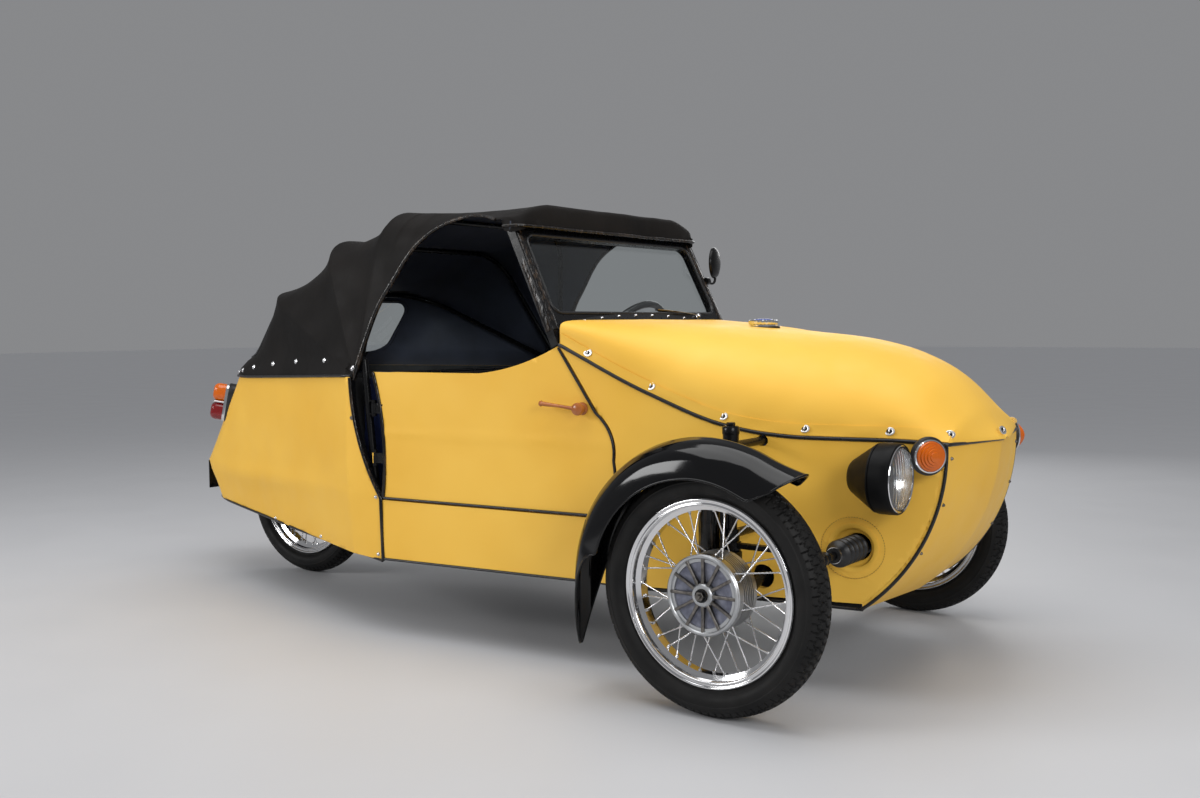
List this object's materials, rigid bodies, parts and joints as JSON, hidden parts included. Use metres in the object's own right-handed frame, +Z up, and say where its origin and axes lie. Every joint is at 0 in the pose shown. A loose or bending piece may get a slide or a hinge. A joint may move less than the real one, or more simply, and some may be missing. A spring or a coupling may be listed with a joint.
{
  "type": "three wheeled car",
  "caption": "Light three wheeled car with leatherette panels over a tube frame, soft top, rear-hinged doors, spoked wheels and two steered front wheels under cycle fenders.",
  "frame": {"origin": "on the ground under the middle of the car's box", "axes": "+X towards the nose, +Y to the car's left, +Z up"},
  "size_m": [2.965, 1.399, 1.2383],
  "materials": {
    "leatherette": "matte stretched leatherette",
    "hood_cloth": "matte coated cloth",
    "seat_vinyl": "semi-gloss vinyl",
    "frame_paint": "satin black paint",
    "fender_paint": "gloss black paint",
    "floor_paint": "matte black paint",
    "screen_glass": "clear",
    "lamp_glass": "fluted",
    "lamp_plastic": "amber",
    "handle_plastic": "amber brown",
    "black_plastic": "satin",
    "bright_steel": "bright",
    "rim_chrome": "polished",
    "hub_alloy": "satin cast and turned",
    "tyre_rubber": "block tread",
    "pedal_rubber": "ribbed",
    "engine_metal": "as cast"
  },
  "bodies": {
    "body": {"bonnet": "leatherette", "side_panel_left": "leatherette", "side_panel_right": "leatherette", "front_panel": "leatherette", "rear_body": "leatherette", "floor_pan": "floor_paint", "chassis_frame": "frame_paint", "windscreen_frame": "frame_paint", "window_glass": "screen_glass", "hood": "hood_cloth", "hood_bows": "frame_paint", "seat_cushions": "seat_vinyl", "seat_base": "floor_paint", "dashboard": "black_plastic", "steering_column": "frame_paint", "front_axle": "frame_paint", "rear_fork": "frame_paint", "engine_block": "engine_metal", "headlamp_shells": "fender_paint", "headlamp_lenses": "lamp_glass", "signal_lamps": "lamp_plastic", "fuel_cap": "rim_chrome", "mirror": "black_plastic", "wiper": "rim_chrome", "plate_bracket": "frame_paint", "floor_controls": "pedal_rubber"},
    "steering_wheel": {"steering_wheel": "black_plastic"},
    "steering_rod": {"tie_rods": "bright_steel"},
    "door_left": {"door_left": "leatherette", "door_handle_left": "handle_plastic"},
    "door_right": {"door_right": "leatherette", "door_handle_right": "handle_plastic"},
    "knuckle_left": {"knuckle_left": "frame_paint", "fender_left": "fender_paint"},
    "knuckle_right": {"knuckle_right": "frame_paint", "fender_right": "fender_paint"},
    "wheel_front_left": {"tyre_front_left": "tyre_rubber", "rim_front_left": "rim_chrome", "hub_front_left": "hub_alloy"},
    "wheel_front_right": {"tyre_front_right": "tyre_rubber", "rim_front_right": "rim_chrome", "hub_front_right": "hub_alloy"},
    "wheel_rear": {"tyre_rear": "tyre_rubber", "rim_rear": "rim_chrome", "hub_rear": "hub_alloy"}
  },
  "joints": [
    {"name": "steer_right", "type": "hinge", "parent": "body", "child": "knuckle_right", "pos_m": [0.9975, -0.515, 0.3], "axis": [0, 0, 1], "range_deg": [-22, 22]},
    {"name": "steer_left", "type": "hinge", "parent": "body", "child": "knuckle_left", "pos_m": [0.9975, 0.515, 0.3], "axis": [0, 0, 1], "range_deg": [-22, 22]},
    {"name": "rack_slide", "type": "slide", "parent": "body", "child": "steering_rod", "axis": [0, 1, 0], "range_m": [-0.0865, 0.0865]},
    {"name": "steering_wheel_turn", "type": "hinge", "parent": "body", "child": "steering_wheel", "pos_m": [0.2035, 0.215, 0.815], "axis": [-0.8387, 0, 0.5446], "range_deg": [-310, 310]},
    {"name": "door_left_hinge", "type": "hinge", "parent": "body", "child": "door_left", "pos_m": [-0.1925, 0.505, 0.6], "axis": [0, 0, 1], "range_deg": [0, 70]},
    {"name": "door_right_hinge", "type": "hinge", "parent": "body", "child": "door_right", "pos_m": [-0.1925, -0.505, 0.6], "axis": [0, 0, 1], "range_deg": [-70, 0]},
    {"name": "spin_front_left", "type": "hinge", "parent": "knuckle_left", "child": "wheel_front_left", "pos_m": [1.0125, 0.625, 0.288], "axis": [0, 1, 0], "continuous": true},
    {"name": "spin_front_right", "type": "hinge", "parent": "knuckle_right", "child": "wheel_front_right", "pos_m": [1.0125, -0.625, 0.288], "axis": [0, 1, 0], "continuous": true},
    {"name": "spin_rear", "type": "hinge", "parent": "body", "child": "wheel_rear", "pos_m": [-1.0475, 0, 0.288], "axis": [0, 1, 0], "continuous": true}
  ],
  "couplings": [
    {"joint": "steer_left", "follows": "steer_right", "ratio": 1},
    {"joint": "rack_slide", "follows": "steer_right", "m_per_rad": 0.225},
    {"joint": "steering_wheel_turn", "follows": "steer_right", "ratio": 14.062}
  ]
}
